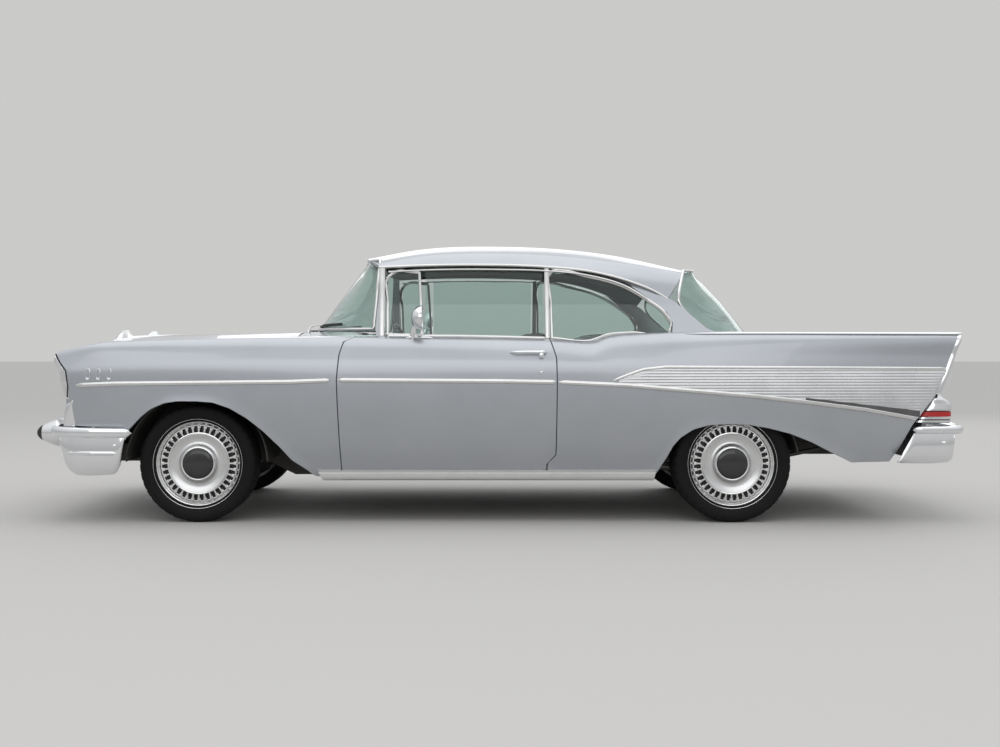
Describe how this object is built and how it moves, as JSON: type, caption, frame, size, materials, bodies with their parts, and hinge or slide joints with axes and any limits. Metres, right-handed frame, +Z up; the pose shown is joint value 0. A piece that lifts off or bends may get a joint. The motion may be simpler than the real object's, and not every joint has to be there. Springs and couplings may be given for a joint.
{
  "type": "two-door hardtop car of the 1950s",
  "caption": "Two-door hardtop of the 1950s with tail fins, wrap-round glass, bright side spear, opening doors, hood and trunk lid, steered front wheels.",
  "frame": {"origin": "middle of the overall length and of the width, on the ground that the tyres stand on", "axes": "+X rearward along the car, +Y to the right-hand side, +Z up"},
  "size_m": [5.161, 1.9002, 1.5461],
  "materials": {
    "black_steel": "satin black chassis paint",
    "dash_plastic": "dark grey dashboard",
    "glass": "lightly tinted safety glass",
    "paint": "metallic silver paint",
    "chrome": "bright plated steel",
    "iron": "cast and machined iron",
    "bare_steel": "plain steel with a dull coat",
    "upholstery": "dark grey trim",
    "grille_metal": "anodised aluminium mesh and bar",
    "lamp_glass": "clear lamp glass in a bright bezel",
    "spring_steel": "black painted spring steel",
    "alloy": "machined and polished wheel",
    "wheel_plastic": "dark steering wheel",
    "red_lens": "red lens in a bright housing",
    "tyre": "black low-profile tyre"
  },
  "bodies": {
    "body": {"chassis_frame": "black_steel", "dashboard": "dash_plastic", "driveline": "iron", "engine": "iron", "exhaust": "bare_steel", "firewall_cowl": "paint", "floor_pan": "black_steel", "front_bumper": "chrome", "front_fender_left": "paint", "front_fender_right": "paint", "front_seat": "upholstery", "front_suspension": "black_steel", "fuel_tank": "bare_steel", "grille": "grille_metal", "headlamps": "lamp_glass", "quarter_glass": "glass", "quarter_panel_left": "paint", "quarter_panel_right": "paint", "radiator_support": "black_steel", "rear_axle": "iron", "rear_bumper": "chrome", "rear_deck": "paint", "rear_seat": "upholstery", "rear_springs": "spring_steel", "rear_window": "glass", "roof": "paint", "side_trim": "chrome", "steering_column": "dash_plastic", "tail_lamps": "red_lens", "tail_panel": "paint", "wheelhouses": "black_steel", "window_pillars": "paint", "windshield": "glass"},
    "door_left": {"door_left": "paint", "door_glass_left": "glass", "door_trim_left": "chrome"},
    "door_right": {"door_right": "paint", "door_glass_right": "glass", "door_trim_right": "chrome"},
    "hood": {"hood": "paint"},
    "trunk_lid": {"trunk_lid": "paint"},
    "knuckle_left": {"knuckle_left": "iron"},
    "knuckle_right": {"knuckle_right": "iron"},
    "steering_wheel": {"steering_wheel": "wheel_plastic"},
    "wheel_front_left": {"tyre_front_left": "tyre", "rim_front_left": "alloy"},
    "wheel_front_right": {"tyre_front_right": "tyre", "rim_front_right": "alloy"},
    "wheel_rear_left": {"tyre_rear_left": "tyre", "rim_rear_left": "alloy"},
    "wheel_rear_right": {"tyre_rear_right": "tyre", "rim_rear_right": "alloy"}
  },
  "joints": [
    {"name": "door_left_hinge", "type": "hinge", "parent": "body", "child": "door_left", "pos_m": [-0.8905, -0.888, 0.7], "axis": [0, 0, -1], "range_deg": [0, 65]},
    {"name": "door_right_hinge", "type": "hinge", "parent": "body", "child": "door_right", "pos_m": [-0.8905, 0.888, 0.7], "axis": [0, 0, 1], "range_deg": [0, 65]},
    {"name": "hood_hinge", "type": "hinge", "parent": "body", "child": "hood", "pos_m": [-1.0815, 0, 1.047], "axis": [0, 1, 0], "range_deg": [0, 50]},
    {"name": "trunk_hinge", "type": "hinge", "parent": "body", "child": "trunk_lid", "pos_m": [1.5435, 0, 1.048], "axis": [0, -1, 0], "range_deg": [0, 65]},
    {"name": "steer_left", "type": "hinge", "parent": "body", "child": "knuckle_left", "pos_m": [-1.6085, -0.675, 0.32], "axis": [0, 0, 1], "range_deg": [-28, 28]},
    {"name": "steer_right", "type": "hinge", "parent": "body", "child": "knuckle_right", "pos_m": [-1.6085, 0.675, 0.32], "axis": [0, 0, 1], "range_deg": [-28, 28]},
    {"name": "steering_turn", "type": "hinge", "parent": "body", "child": "steering_wheel", "pos_m": [-0.4685, -0.37, 0.905], "axis": [0.8324, 0, 0.5541], "range_deg": [-450, 450]},
    {"name": "wheel_front_left_spin", "type": "hinge", "parent": "knuckle_left", "child": "wheel_front_left", "pos_m": [-1.6085, -0.737, 0.32], "axis": [0, 1, 0], "continuous": true},
    {"name": "wheel_front_right_spin", "type": "hinge", "parent": "knuckle_right", "child": "wheel_front_right", "pos_m": [-1.6085, 0.737, 0.32], "axis": [0, 1, 0], "continuous": true},
    {"name": "wheel_rear_left_spin", "type": "hinge", "parent": "body", "child": "wheel_rear_left", "pos_m": [1.3125, -0.747, 0.32], "axis": [0, 1, 0], "continuous": true},
    {"name": "wheel_rear_right_spin", "type": "hinge", "parent": "body", "child": "wheel_rear_right", "pos_m": [1.3125, 0.747, 0.32], "axis": [0, 1, 0], "continuous": true}
  ],
  "couplings": [
    {"joint": "steer_right", "follows": "steer_left", "ratio": 1},
    {"joint": "steering_turn", "follows": "steer_left", "ratio": 16}
  ]
}
